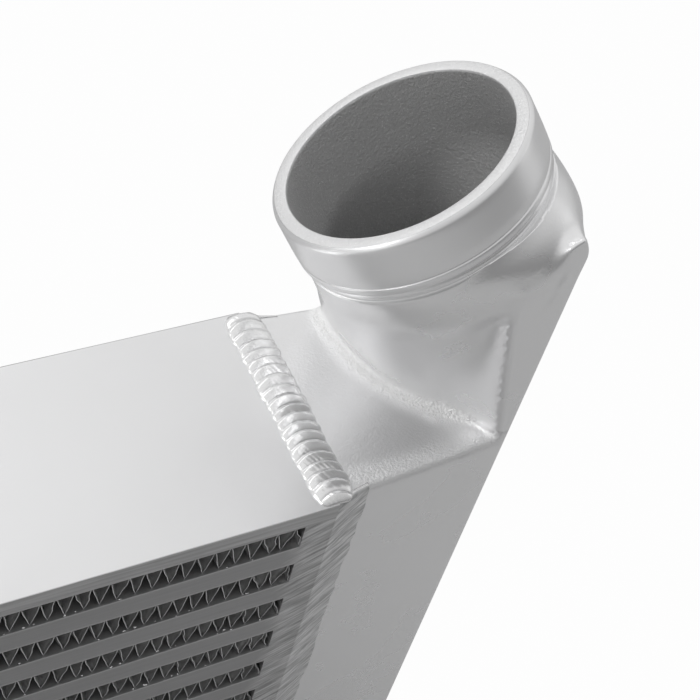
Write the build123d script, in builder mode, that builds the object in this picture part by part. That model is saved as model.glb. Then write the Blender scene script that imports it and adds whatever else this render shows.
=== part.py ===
import os
from math import cos, radians, sin, sqrt, tan

from build123d import *

# Air to air intercooler: a brazed bar and plate core with a cast end tank welded on at each end.
# Millimetres. Origin at the centre of the core's bottom face, +X along the core towards the
# right tank, +Y through the core towards its back, +Z up.

# Core
core_width = 510.0
core_depth = 64.0
side_plate = 5.6
air_rows = 11
fin_height = 8.8
fin_pitch = 13.0
fin_gauge = 0.34
fin_recess = 0.6
end_bar_width = 8.3
tube_height = 8.1
sheet_gauge = 0.8
side_bar_width = 7.0
turbulator_pitch = 6.25
turbulator_gauge = 0.3
turbulator_setback = 3.0

# End tank
tank_inset = 2.2
tank_reach = 53.1
tank_wall = 3.4
tank_draft = 3.85
tank_corner = 6.0
tank_edge = 1.2
weld_prep = 2.0

# Neck, placed from the header face, the core's middle and the core's top
lean_in = 29.35
lean_back = 21.4
rim_out = 20.0
rim_back = 11.8
rim_rise = 73.2
rim_radius = 31.1
lip_radius = 32.3
lip_height = 11.5
bore_radius = 28.0
lip_step = 0.8
cast_step = 0.6
bore_depth = 24.0

# Foot of the neck on the tank's top
root_beyond = 14.4
root_back = 23.0
root_radius = 45.6
root_fillet = 3.8
root_sink = 0.15
root_overlap = 1.0

# Upright beside the neck, flush with the tank's front and outer walls, leaning with the neck above its peak
upright_width = 4.1
upright_lean = 14.0
upright_peak = 65.0
upright_tip = 9.3

# Rounded knuckle on the outside of the bend: a slice of a ball, shifted towards its front and outer side
knuckle_drop = 25.0
knuckle_half = 10.5
knuckle_radius = 31.6
knuckle_shift = 3.6
knuckle_turn = -45.0
knuckle_tilt = 8.0
pipe_length = 18.0

# Welds between core and tanks
bead_on_core = 5.5
bead_on_tank = 5.0
bead_rise = 1.6
bead_end_gap = 1.0
ramp_length = 9.6
ramp_edge = 0.3

core_height = 2 * side_plate + air_rows * fin_height + (air_rows - 1) * tube_height
header = core_width / 2
fin_run = core_width - 2 * end_bar_width
row_step = fin_height + tube_height
mouth_half = core_depth / 2 - tank_inset
outer = header + tank_reach
root_centre = (outer + root_beyond, root_back)


def export(builder, name):
    builder.part.label = name
    export_step(builder.part, f"parts/{name}.step")


def zigzag(run, height, pitch, gauge):
    """Closed outline of a folded strip, its folds touching both sides of a gap of this height."""
    folds = 2 * round(run / pitch)
    step = run / folds
    thick = gauge * sqrt(1 + (height / step) ** 2)
    high = [(i * step - run / 2, height / 2 if i % 2 else thick - height / 2) for i in range(folds + 1)]
    low = [(x, y - thick) for x, y in reversed(high)]
    return high + low


def side_plate_part(name, bottom):
    with BuildPart() as plate:
        with BuildSketch(Plane.XY.offset(bottom)):
            Rectangle(core_width, core_depth)
        extrude(amount=side_plate)
    export(plate, name)


def air_layer(number, bottom):
    """Folded air fin and the two bars that close the layer's ends."""
    with BuildPart() as fin:
        with BuildSketch(Plane.XZ.offset(fin_recess - core_depth / 2)):
            with BuildLine(Location((0, bottom + fin_height / 2, 0))):
                Polyline(*zigzag(fin_run, fin_height, fin_pitch, fin_gauge), close=True)
            make_face()
        extrude(amount=core_depth - 2 * fin_recess)
    export(fin, f"air_fin_{number:02d}")
    for side, name in ((-1, "left"), (1, "right")):
        with BuildPart() as bar:
            with BuildSketch(Plane.XY.offset(bottom)):
                with Locations((side * (header - end_bar_width / 2), 0)):
                    Rectangle(end_bar_width, core_depth)
            extrude(amount=fin_height)
        export(bar, f"end_bar_{name}_{number:02d}")


def charge_layer(number, bottom):
    """Flat tube of two sheets brazed to two side bars, with its folded turbulator inside."""
    middle = bottom + tube_height / 2
    passage_width = core_depth - 2 * side_bar_width
    passage_height = tube_height - 2 * sheet_gauge
    with BuildPart() as tube:
        with BuildSketch(Plane.YZ.offset(-header)):
            with Locations((0, middle)):
                Rectangle(core_depth, tube_height)
                Rectangle(passage_width, passage_height, mode=Mode.SUBTRACT)
        extrude(amount=core_width)
    export(tube, f"charge_tube_{number:02d}")
    with BuildPart() as turbulator:
        with BuildSketch(Plane.YZ.offset(turbulator_setback - header)):
            with BuildLine(Location((0, middle, 0))):
                outline = zigzag(passage_width, passage_height, turbulator_pitch, turbulator_gauge)
                Polyline(*outline, close=True)
            make_face()
        extrude(amount=core_width - 2 * turbulator_setback)
    export(turbulator, f"turbulator_{number:02d}")


def tank_outline(inset=0.0, start=0.0):
    """Plan of the tank: a mouth on the header face, walls drafted towards a rounded outer end."""
    near = header + start
    far = outer - inset
    half_near = mouth_half - start * tan(radians(tank_draft)) - inset
    half_far = mouth_half - (far - header) * tan(radians(tank_draft)) - inset
    with BuildSketch() as plan:
        with BuildLine():
            Polyline((near, -half_near), (far, -half_far), (far, half_far), (near, half_near), close=True)
        make_face()
        fillet(plan.vertices().group_by(Axis.X)[-1], tank_corner - inset)
    return plan.sketch


# The neck's axis leans in over the core and back, and points out of the rim
axis = Vector(-tan(radians(lean_in)), tan(radians(lean_back)), 1).normalized()
rim_centre = Vector(header + rim_out, rim_back, core_height + rim_rise)
rim_plane = Plane(origin=rim_centre, x_dir=Vector(1, 0, 0).cross(axis).cross(axis) * -1, z_dir=axis)
pipe_radius = lip_radius - lip_step


def neck_form(inset, sink):
    """Bend between tank and lip: from the foot's circle, trimmed to the tank's plan, to the pipe."""
    with BuildPart() as form:
        with BuildSketch(Plane.XY.offset(core_height - sink)):
            add(tank_outline(inset + tank_edge))
            with Locations(root_centre):
                Circle(root_radius - inset, mode=Mode.INTERSECT)
        with BuildSketch(rim_plane.offset(-lip_height - 1)):
            Circle(bore_radius - cast_step if inset else pipe_radius - cast_step)
        loft()
    return form.part


def root_skirt():
    """Hollow-sided ring that blends the foot of the neck into the tank's top, inside the tank's plan."""
    centre = Plane(origin=(*root_centre, core_height), x_dir=(1, 0, 0), z_dir=(0, -1, 0))
    foot = root_radius + root_fillet
    inner = root_radius - root_fillet
    top = root_fillet - root_sink
    with BuildPart() as skirt:
        with BuildSketch(centre):
            with BuildLine():
                blend = CenterArc((foot, top), root_fillet, 180, 90)
                Polyline(blend @ 1, (foot, -root_overlap), (inner, -root_overlap), (inner, top), blend @ 0)
            make_face()
        revolve(axis=Axis(centre.origin, (0, 0, 1)))
        with BuildSketch(Plane.XY.offset(core_height - root_overlap)):
            add(tank_outline(tank_edge))
        extrude(amount=root_overlap + top, mode=Mode.INTERSECT)
    return skirt.part


def upright():
    """Outer side of the bend: the tank's plan carried up, cut to the front view's outline."""
    lean = tan(radians(lean_in))
    inward = tan(radians(upright_lean))
    foot = outer - upright_width
    top = upright_peak + upright_tip
    with BuildPart() as column:
        with BuildSketch(Plane.XY.offset(core_height - tank_wall)):
            add(tank_outline())
        extrude(amount=top + tank_wall)
        with BuildSketch(Plane.XZ.offset(core_depth)):
            with BuildLine(Location((0, core_height, 0))):
                Polyline(
                    (foot + tank_wall * inward, -tank_wall),
                    (outer, -tank_wall),
                    (outer, upright_peak),
                    (outer - upright_tip * lean, top),
                    (foot - upright_peak * inward, upright_peak - upright_tip),
                    close=True,
                )
            make_face()
        extrude(amount=-2 * core_depth, mode=Mode.INTERSECT)
    return column.part


def knuckle():
    """Slice of a ball round the neck, shifted and tilted so that it shows on the outer side of the bend only."""
    middle = rim_plane.offset(-knuckle_drop).rotated((0, knuckle_tilt, 0))
    turn = radians(knuckle_turn)
    centre = middle.origin + rim_plane.x_dir * knuckle_shift * cos(turn) + rim_plane.y_dir * knuckle_shift * sin(turn)
    section = Plane(origin=centre, x_dir=middle.x_dir, z_dir=middle.x_dir.cross(middle.z_dir))
    edge_radius = sqrt(knuckle_radius**2 - knuckle_half**2)
    with BuildPart() as barrel:
        with BuildSketch(section):
            with BuildLine():
                rise = Line((0, -knuckle_half), (edge_radius, -knuckle_half))
                crown = ThreePointArc(rise @ 1, (knuckle_radius, 0), (edge_radius, knuckle_half))
                Polyline(crown @ 1, (0, knuckle_half), (0, -knuckle_half))
            make_face()
        revolve(axis=Axis(centre, middle.z_dir))
    return barrel.part


def prep_corners():
    """Bevels on the mouth's lower and upper edges, seen from the front, that the weld fills."""
    with BuildSketch() as corners:
        for level, up in ((0, weld_prep), (core_height, -weld_prep)):
            with BuildLine():
                Polyline((header, level), (header + weld_prep, level), (header, level + up), close=True)
            make_face()
    return corners.sketch


def make_tank():
    """Cast end tank with its neck, open to the core at its mouth and bored through at the rim. Its edges are
    broken all round, apart from those at the mouth."""
    with BuildPart() as cavity:
        with BuildSketch(Plane.XY.offset(tank_wall)):
            add(tank_outline(tank_wall, start=-1))
        extrude(amount=core_height - 2 * tank_wall)
        add(neck_form(tank_wall, tank_wall + root_overlap))
        with BuildSketch(rim_plane.offset(-bore_depth)):
            Circle(bore_radius)
        extrude(amount=bore_depth + 1)
    with BuildPart() as lip:
        with BuildSketch(rim_plane.offset(-lip_height)):
            Circle(lip_radius)
        extrude(amount=lip_height)
        chamfer(lip.edges().sort_by(Axis(rim_centre, axis))[-1], lip_radius - rim_radius)
    with BuildPart() as tank:
        with BuildSketch():
            add(tank_outline())
        extrude(amount=core_height)
        lower = tank.edges().group_by(Axis.Z)[0].sort_by(Axis.X)[1:]
        chamfer(lower, tank_edge)
        upper = tank.edges().group_by(Axis.Z)[-1].sort_by(Axis.X)[1:]
        fillet(upper, tank_edge)
        with BuildSketch(Plane.XZ.offset(-core_depth / 2)):
            add(prep_corners())
        extrude(amount=core_depth, mode=Mode.SUBTRACT)
        add(upright())
        add(root_skirt())
        add(neck_form(0, root_overlap))
        add(knuckle())
        with BuildSketch(rim_plane.offset(-pipe_length)):
            Circle(pipe_radius)
        extrude(amount=pipe_length - lip_height / 2)
        add(lip.part)
        add(cavity.part, mode=Mode.SUBTRACT)
    return tank.part


def make_weld():
    """Weld round the tank's mouth: a raised bead on top, ground ramps down the front and back,
    and a flush filling below."""
    half_far = mouth_half - ramp_length * tan(radians(tank_draft))
    with BuildPart() as weld:
        with BuildSketch(Plane.XZ.offset(bead_end_gap - core_depth / 2)):
            with BuildLine(Location((header, core_height, 0))):
                crown = ThreePointArc((-bead_on_core, 0), ((bead_on_tank - bead_on_core) / 2, bead_rise),
                                      (bead_on_tank, 0))
                Line(crown @ 1, crown @ 0)
            make_face()
        extrude(amount=core_depth - 2 * bead_end_gap)
        with BuildSketch(Plane.XZ.offset(-mouth_half)):
            add(prep_corners())
        extrude(amount=2 * mouth_half)
        with BuildSketch():
            for side in (-1, 1):
                with BuildLine():
                    Polyline(
                        (header, side * mouth_half),
                        (header + ramp_length, side * half_far),
                        (header + ramp_length, side * (half_far + ramp_edge)),
                        (header, side * core_depth / 2),
                        close=True,
                    )
                make_face()
        extrude(amount=core_height)
    return weld.part


def export_both(right, name):
    with BuildPart() as right_side:
        add(right)
    export(right_side, f"{name}_right")
    with BuildPart() as left_side:
        add(right)
        mirror(about=Plane.YZ, mode=Mode.REPLACE)
    export(left_side, f"{name}_left")


os.makedirs("parts", exist_ok=True)
side_plate_part("bottom_side_plate", 0)
side_plate_part("top_side_plate", core_height - side_plate)
for row in range(air_rows):
    air_layer(row + 1, side_plate + row * row_step)
for row in range(air_rows - 1):
    charge_layer(row + 1, side_plate + fin_height + row * row_step)
export_both(make_tank(), "end_tank")
export_both(make_weld(), "weld")
print(f"core {core_width} x {core_depth} x {core_height}, rim centre {rim_centre}, axis {axis}")
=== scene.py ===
import math
import bpy
import numpy as np
from mathutils import Matrix, Vector


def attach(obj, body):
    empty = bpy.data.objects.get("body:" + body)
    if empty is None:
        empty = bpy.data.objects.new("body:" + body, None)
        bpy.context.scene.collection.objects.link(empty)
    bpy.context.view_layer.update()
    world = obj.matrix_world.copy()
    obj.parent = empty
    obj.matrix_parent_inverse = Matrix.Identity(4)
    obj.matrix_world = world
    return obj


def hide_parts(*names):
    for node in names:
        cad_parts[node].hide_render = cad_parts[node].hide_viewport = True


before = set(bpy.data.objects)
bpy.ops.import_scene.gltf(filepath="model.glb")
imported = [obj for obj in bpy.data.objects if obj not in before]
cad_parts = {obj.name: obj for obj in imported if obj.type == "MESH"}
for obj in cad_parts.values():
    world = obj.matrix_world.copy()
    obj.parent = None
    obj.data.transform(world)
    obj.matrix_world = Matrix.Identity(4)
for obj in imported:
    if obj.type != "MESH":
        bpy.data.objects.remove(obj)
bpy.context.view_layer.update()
print("frame loaded")

millimetre = 0.001

# the core's layers, as the solids have them, in millimetres
core = {
    "halfWidth": 255.0,
    "halfDepth": 32.0,
    "height": 189.0,
    "sidePlate": 5.6,
    "rows": 11,
    "finHeight": 8.8,
    "tubeHeight": 8.1,
    "endBar": 8.3,
}
rowStep = core["finHeight"] + core["tubeHeight"]

# the end tank and its neck, in millimetres
tank = {
    "reach": 53.1,
    "mouthHalf": 29.8,
    "draft": math.tan(math.radians(3.85)),
    "corner": 4.0,
    "edge": 1.5,
    "wall": 3.4,
    "rimCentre": (275.0, 11.8, 262.2),
    "rimRadius": 31.1,
    "boreRadius": 28.0,
    "lipRadius": 32.2,
    "lipHeight": 12.2,
    "pipeRadius": 31.6,
    "pipeDrop": 19.0,
    "rootCentre": (322.5, 23.0),
    "rootRadius": 45.6,
    "rootBlend": 3.2,
    "footCentre": (293.5, 5.0),
    "uprightFoot": 50.4,
    "uprightSlant": 0.55,
    "uprightLean": math.radians(14.0),
    "uprightPeak": 66.5,
    "uprightDrop": 22.5,
    "uprightFall": 0.25,
    "notchCentre": (287.0, 75.5),
    "notchRadius": 12.6,
    "uprightBlend": 4.0,
    "shoulderDrop": 25.0,
    "shoulderAngle": math.radians(-62),
    "shoulderBase": 28.0,
    "shoulderSize": 8.7,
    "shoulderTop": 0.055,
    "shoulderFoot": 0.05,
    "shoulderBlend": 4.0,
    "shoulderFront": math.radians(40),
    "shoulderRear": math.radians(50),
    "pipeEase": 0.06,
    "spine": (283.0, 0.0),
    "columns": 300,
    "columnSqueeze": 0.4,
    "columnFocus": math.radians(-75),
    "outerRows": 232,
    "innerRows": 44,
}

leanIn = math.tan(math.radians(29.35))
leanBack = math.tan(math.radians(21.4))
neckAxis = np.array([-leanIn, leanBack, 1.0])
neckAxis /= np.linalg.norm(neckAxis)
neckAcross = -np.cross(np.cross([1.0, 0.0, 0.0], neckAxis), neckAxis)
neckAcross /= np.linalg.norm(neckAcross)
neckBack = np.cross(neckAxis, neckAcross)
rimCentre = np.array(tank["rimCentre"])


def insideOut(vertices, faceList):
    """Whether the faces of a closed form point inwards: the volume under them, added up, is below zero."""
    total = 0.0
    for f in faceList:
        a = vertices[f[:, 0]]
        for i in range(1, f.shape[1] - 1):
            total += np.einsum("ij,ij->i", a, np.cross(vertices[f[:, i]], vertices[f[:, i + 1]])).sum()
    return total < 0


def makeMesh(name, vertices, quads, triangles=None, smooth=True):
    """Puts arrays of corners (metres), four-sided faces and three-sided faces into a new mesh object."""
    faceList = [quads.reshape(-1, 4)]
    if triangles is not None:
        faceList.append(triangles.reshape(-1, 3))
    if insideOut(vertices, faceList):
        faceList = [f[:, ::-1] for f in faceList]
    loops = np.concatenate([f.ravel() for f in faceList]).astype(np.int32)
    totals = np.concatenate([np.full(len(f), f.shape[1]) for f in faceList]).astype(np.int32)
    starts = np.concatenate([[0], np.cumsum(totals)[:-1]]).astype(np.int32)
    mesh = bpy.data.meshes.new(name)
    mesh.vertices.add(len(vertices))
    mesh.vertices.foreach_set("co", np.asarray(vertices, np.float32).ravel())
    mesh.loops.add(len(loops))
    mesh.loops.foreach_set("vertex_index", loops)
    mesh.polygons.add(len(totals))
    mesh.polygons.foreach_set("loop_start", starts)
    mesh.polygons.foreach_set("loop_total", totals)
    mesh.polygons.foreach_set("use_smooth", np.full(len(totals), smooth))
    mesh.update(calc_edges=True)
    mesh.validate()
    piece = bpy.data.objects.new(name, mesh)
    bpy.context.scene.collection.objects.link(piece)
    return piece


def gridFaces(rows, columns, wrapRows=False, wrapColumns=False):
    """Four corners of each cell of a grid of rows x columns, going round where a side is wrapped."""
    rowIndex = np.arange(rows if wrapRows else rows - 1)[:, None]
    columnIndex = np.arange(columns if wrapColumns else columns - 1)[None, :]
    nextRow = (rowIndex + 1) % rows
    nextColumn = (columnIndex + 1) % columns
    corners = [rowIndex * columns + columnIndex, rowIndex * columns + nextColumn,
               nextRow * columns + nextColumn, nextRow * columns + columnIndex]
    return np.stack(np.broadcast_arrays(*corners), axis=-1).reshape(-1, 4)


def mirrored(piece, name):
    """The same mesh on the other side: x changes sign and each face turns round."""
    source = piece.data
    count = len(source.vertices)
    points = np.empty(count * 3, np.float32)
    source.vertices.foreach_get("co", points)
    points = points.reshape(-1, 3) * np.array([-1, 1, 1], np.float32)
    copy = source.copy()
    copy.name = name
    copy.vertices.foreach_set("co", points.ravel())
    copy.flip_normals()
    copy.update()
    other = bpy.data.objects.new(name, copy)
    bpy.context.scene.collection.objects.link(other)
    return other


# ---- camera and light


def placeCamera():
    forward = Vector((0.40902, 0.51770, -0.75146)).normalized()
    up = Vector((0.21776, 0.74433, 0.63131))
    right = forward.cross(up).normalized()
    up = right.cross(forward)
    data = bpy.data.cameras.new("camera")
    data.lens = 79.217
    data.sensor_width = 36.0
    data.clip_start = 0.01
    data.clip_end = 20.0
    camera = bpy.data.objects.new("camera", data)
    turn = Matrix((right, up, -forward)).transposed().to_4x4()
    camera.matrix_world = Matrix.Translation((0.1124, -0.1984, 0.4942)) @ turn
    bpy.context.scene.collection.objects.link(camera)
    bpy.context.scene.camera = camera


studio = {
    "backdrop": 0.985,
    "floorColour": 0.54,
    "dark": 0.19,
    "bright": 0.84,
    "brightFrom": (-0.16, 0.66, 0.62),
    "span": (-0.62, 0.60),
    "lights": (
        # name, place, aim, width, height, power
        ("backSoftbox", (-0.2, 1.1, 1.2), (0.25, 0.0, 0.2), 1.2, 0.5, 2.5),
        ("leftSoftbox", (-1.3, -0.1, 0.9), (0.25, 0.0, 0.2), 0.9, 0.6, 5.0),
        ("rightPanel", (1.5, -0.2, 0.5), (0.25, 0.0, 0.2), 0.5, 0.9, 0.6),
    ),
}


def makeSky():
    # dome that grows from dark in front of the object to bright above and behind it; seen straight on it is white
    world = bpy.data.worlds.new("studioWorld")
    world.use_nodes = True
    tree = world.node_tree
    dome = tree.nodes["Background"]
    white = tree.nodes.new("ShaderNodeBackground")
    white.inputs["Strength"].default_value = studio["backdrop"]
    for shade in (dome, white):
        shade.inputs["Color"].default_value = (1, 1, 1, 1)
    facing = tree.nodes.new("ShaderNodeVectorMath")
    facing.operation = "DOT_PRODUCT"
    facing.inputs[1].default_value = studio["brightFrom"]
    tree.links.new(tree.nodes.new("ShaderNodeTexCoord").outputs["Generated"], facing.inputs[0])
    ramp = tree.nodes.new("ShaderNodeMapRange")
    ramp.interpolation_type = "SMOOTHSTEP"
    ramp.inputs["From Min"].default_value, ramp.inputs["From Max"].default_value = studio["span"]
    ramp.inputs["To Min"].default_value = studio["dark"]
    ramp.inputs["To Max"].default_value = studio["bright"]
    tree.links.new(facing.outputs["Value"], ramp.inputs["Value"])
    tree.links.new(ramp.outputs["Result"], dome.inputs["Strength"])
    either = tree.nodes.new("ShaderNodeMixShader")
    tree.links.new(tree.nodes.new("ShaderNodeLightPath").outputs["Is Camera Ray"], either.inputs["Fac"])
    tree.links.new(dome.outputs["Background"], either.inputs[1])
    tree.links.new(white.outputs["Background"], either.inputs[2])
    tree.links.new(either.outputs["Shader"], tree.nodes["World Output"].inputs["Surface"])
    bpy.context.scene.world = world


def makeFloor():
    half = 6.0
    corners = np.array([[-half, -half, 0], [half, -half, 0], [half, half, 0], [-half, half, 0]]) - [0, 0, 0.0005]
    floor = makeMesh("studioFloor", corners, np.array([[0, 1, 2, 3]]), smooth=False)
    paint = bpy.data.materials.new("floorPaint")
    paint.use_nodes = True
    tree = paint.node_tree
    shader = tree.nodes["Principled BSDF"]
    shade = studio["floorColour"]
    shader.inputs["Base Color"].default_value = (shade, shade, shade, 1)
    shader.inputs["Roughness"].default_value = 0.9
    shader.inputs["Specular IOR Level"].default_value = 0.1
    glow = tree.nodes.new("ShaderNodeEmission")
    glow.inputs["Strength"].default_value = studio["backdrop"]
    either = tree.nodes.new("ShaderNodeMixShader")
    tree.links.new(tree.nodes.new("ShaderNodeLightPath").outputs["Is Camera Ray"], either.inputs["Fac"])
    tree.links.new(shader.outputs["BSDF"], either.inputs[1])
    tree.links.new(glow.outputs["Emission"], either.inputs[2])
    tree.links.new(either.outputs["Shader"], tree.nodes["Material Output"].inputs["Surface"])
    floor.data.materials.append(paint)


def makeStudio():
    makeSky()
    makeFloor()
    for name, place, aim, width, height, power in studio["lights"]:
        data = bpy.data.lights.new(name, "AREA")
        data.shape = "RECTANGLE"
        data.size = width
        data.size_y = height
        data.energy = power
        light = bpy.data.objects.new(name, data)
        light.location = place
        light.rotation_euler = (Vector(aim) - Vector(place)).to_track_quat("-Z", "Y").to_euler()
        bpy.context.scene.collection.objects.link(light)
    settings = bpy.context.scene.view_settings
    settings.view_transform = "Standard"
    settings.look = "None"


placeCamera()
makeStudio()
print("camera and studio placed")

# ---- end tank


def smoothMin(a, b, width):
    """Lower of two distances, with the crease between them rounded over this width."""
    share = np.clip(0.5 + 0.5 * (b - a) / width, 0, 1)
    return b * (1 - share) + a * share - width * share * (1 - share)


def roundMax(a, b, radius):
    """Higher of two distances, with the outer corner between them rounded to this radius."""
    a = a + radius
    b = b + radius
    return np.minimum(np.maximum(a, b), 0) + np.hypot(np.maximum(a, 0), np.maximum(b, 0)) - radius


def planWalls(x, y):
    """Distance to the plan of the tank: two drafted sides, a rounded outer end and the flat mouth."""
    slant = math.hypot(1, tank["draft"])
    side = (np.abs(y) - tank["mouthHalf"] + (x - core["halfWidth"]) * tank["draft"]) / slant
    end = x - core["halfWidth"] - tank["reach"]
    return np.maximum(roundMax(side, end, tank["corner"]), core["halfWidth"] - x)


def footRadius(angle):
    """Reach of the neck's foot from its centre: the nearest of the root circle, the outer wall and the back."""
    cx, cy = tank["footCentre"]
    dx, dy = np.cos(angle), np.sin(angle)
    ox, oy = cx - tank["rootCentre"][0], cy - tank["rootCentre"][1]
    along = ox * dx + oy * dy
    circle = -along + np.sqrt(np.maximum(along ** 2 - ox ** 2 - oy ** 2 + tank["rootRadius"] ** 2, 1))
    outer = (core["halfWidth"] + tank["reach"] - cx) / np.maximum(dx, 1e-3)
    depth = tank["mouthHalf"] - (cx - core["halfWidth"]) * tank["draft"]
    back = (depth - cy) / np.maximum(dy, 1e-3)
    front = (depth + cy) / np.maximum(-dy, 1e-3)
    walls = smoothMin(smoothMin(outer, back, 6.0), front, 6.0)
    return smoothMin(circle, np.minimum(walls, 60.0), 3.0)


def neckPlace(points):
    """A point in the neck's own directions: across, back, and how far it lies below the rim."""
    offset = points - rimCentre
    return offset @ neckAcross, offset @ neckBack, -(offset @ neckAxis)


def bendPlace(points, low):
    """The bend's own section through a point: its share of the way up from this level to the pipe,
    and where the point lies in that section, which slides and turns from the foot to the pipe."""
    z = points[..., 2]
    drop = -((points - rimCentre) @ neckAxis)
    above = np.maximum(z - low, 0.0)
    below = np.maximum(drop - tank["pipeDrop"], 0.0)
    down = 1 - above / np.maximum(above + below, 1e-6)
    ease = tank["pipeEase"]
    flare = (np.sqrt(down ** 2 + ease ** 2) - ease) / (math.sqrt(1 + ease ** 2) - ease)
    pipeEnd = rimCentre - neckAxis * tank["pipeDrop"]
    travel = np.array([*tank["footCentre"], core["height"]]) - pipeEnd
    straight = neckAxis * (travel @ neckAxis)
    centre = pipeEnd + straight * down[..., None] + (travel - straight) * flare[..., None]
    across = np.array([1.0, 0, 0]) * down[..., None] + neckAcross * (1 - down[..., None])
    across = across / np.linalg.norm(across, axis=-1, keepdims=True)
    upward = np.array([0, 0, 1.0]) * down[..., None] + neckAxis * (1 - down[..., None])
    upward = upward / np.linalg.norm(upward, axis=-1, keepdims=True)
    offset = points - centre
    return flare, np.sum(offset * across, axis=-1), np.sum(offset * np.cross(upward, across), axis=-1)


def bendField(points, low, inset, pipeRadius):
    """Distance to the bend, whose reach changes from the foot's outline to a circle on the way up."""
    flare, p, q = bendPlace(points, low)
    reach = (footRadius(np.arctan2(q, p)) - inset) * flare + pipeRadius * (1 - flare)
    return (np.hypot(p, q) - reach) * 0.85


def uprightField(points, walls, drop):
    """Distance to the upright: the tank's own walls carried up, cut inside and outside by leaning planes,
    on top by a round notch under the shoulder and by a slope that falls to the back."""
    outerX = core["halfWidth"] + tank["reach"]
    x, y, rise = points[..., 0], points[..., 1], points[..., 2] - core["height"]
    lean = tank["uprightLean"]
    foot = tank["uprightFoot"] - tank["uprightSlant"] * np.minimum(y + tank["mouthHalf"], 16.0)
    inner = -((x - core["halfWidth"] - foot) * math.cos(lean) + rise * math.sin(lean))
    cosine, sine = math.cos(math.atan(leanIn)), math.sin(math.atan(leanIn))
    outer = (x - outerX) * cosine + (rise - tank["uprightPeak"]) * sine
    across = np.maximum(x - tank["notchCentre"][0], 0)
    notch = tank["notchRadius"] - np.hypot(across, np.maximum(tank["notchCentre"][1] - rise, 0))
    slope = tank["uprightDrop"] + (y + tank["mouthHalf"]) * tank["uprightFall"] - drop
    return roundMax(roundMax(walls, outer, 1.0), roundMax(np.maximum(inner, slope * 0.9), notch, 1.0), 1.0)


def tankField(points):
    """Signed distance, roughly, to the outside of the casting below its lip, in millimetres:
    box with rounded edges, joined smoothly to the bend, the upright, the shoulder and the pipe."""
    z = points[..., 2]
    walls = planWalls(points[..., 0], points[..., 1])
    box = roundMax(walls, z - core["height"], tank["edge"])
    box = roundMax(box, -z, tank["edge"])
    u, v, drop = neckPlace(points)
    around = np.hypot(u, v)
    bend = np.maximum(bendField(points, core["height"], 0.0, tank["pipeRadius"]), core["height"] - 12 - z)
    upright = uprightField(points, walls, drop)
    softness = tank["uprightBlend"] * np.clip(1.35 - (z - core["height"]) / 55, 0.45, 1)
    angle = np.arctan2(v, u) - tank["shoulderAngle"]
    angle = np.arctan2(np.sin(angle), np.cos(angle))
    width = np.where(angle < 0, tank["shoulderFront"], tank["shoulderRear"])
    swell = tank["shoulderSize"] * np.exp(-(angle / width) ** 2)
    fall = drop - tank["shoulderDrop"]
    curve = np.where(fall < 0, tank["shoulderTop"], tank["shoulderFoot"])
    shoulder = (around - tank["shoulderBase"] - swell + curve * fall ** 2) * 0.8
    shoulder = np.maximum(shoulder, np.maximum(14.0 - drop, drop - 44.0))
    neck = smoothMin(bend, upright, softness)
    neck = smoothMin(neck, shoulder, tank["shoulderBlend"])
    whole = smoothMin(box, neck, tank["rootBlend"])
    # front and outer walls stay flat where forms that share them meet
    front = (-points[..., 1] - tank["mouthHalf"] + (points[..., 0] - core["halfWidth"]) * tank["draft"])
    outer = points[..., 0] - core["halfWidth"] - tank["reach"]
    freed = np.maximum(z - core["height"] - 45, 0) + np.maximum(points[..., 1], 0) * 0.6
    return np.maximum(whole, roundMax(front, outer, tank["corner"]) - freed)


def ductField(points):
    """Signed distance, roughly, to the inside of the casting: plenum joined smoothly to the neck's duct."""
    wall, z = tank["wall"], points[..., 2]
    plenum = roundMax(planWalls(points[..., 0], points[..., 1]) + wall, z - core["height"] + wall, 3.0)
    plenum = roundMax(plenum, wall - z, 3.0)
    duct = np.maximum(bendField(points, core["height"] - wall, wall, tank["boreRadius"]), core["height"] - 14 - z)
    return smoothMin(plenum, duct, 4.0)


def fieldNormals(field, points, step=0.05):
    """Direction in which a distance grows, from its change along each axis."""
    slopes = [field(points + step * axis) - field(points - step * axis) for axis in np.eye(3)]
    slope = np.stack(slopes, axis=-1)
    return slope / np.maximum(np.linalg.norm(slope, axis=-1, keepdims=True), 1e-9)


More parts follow.
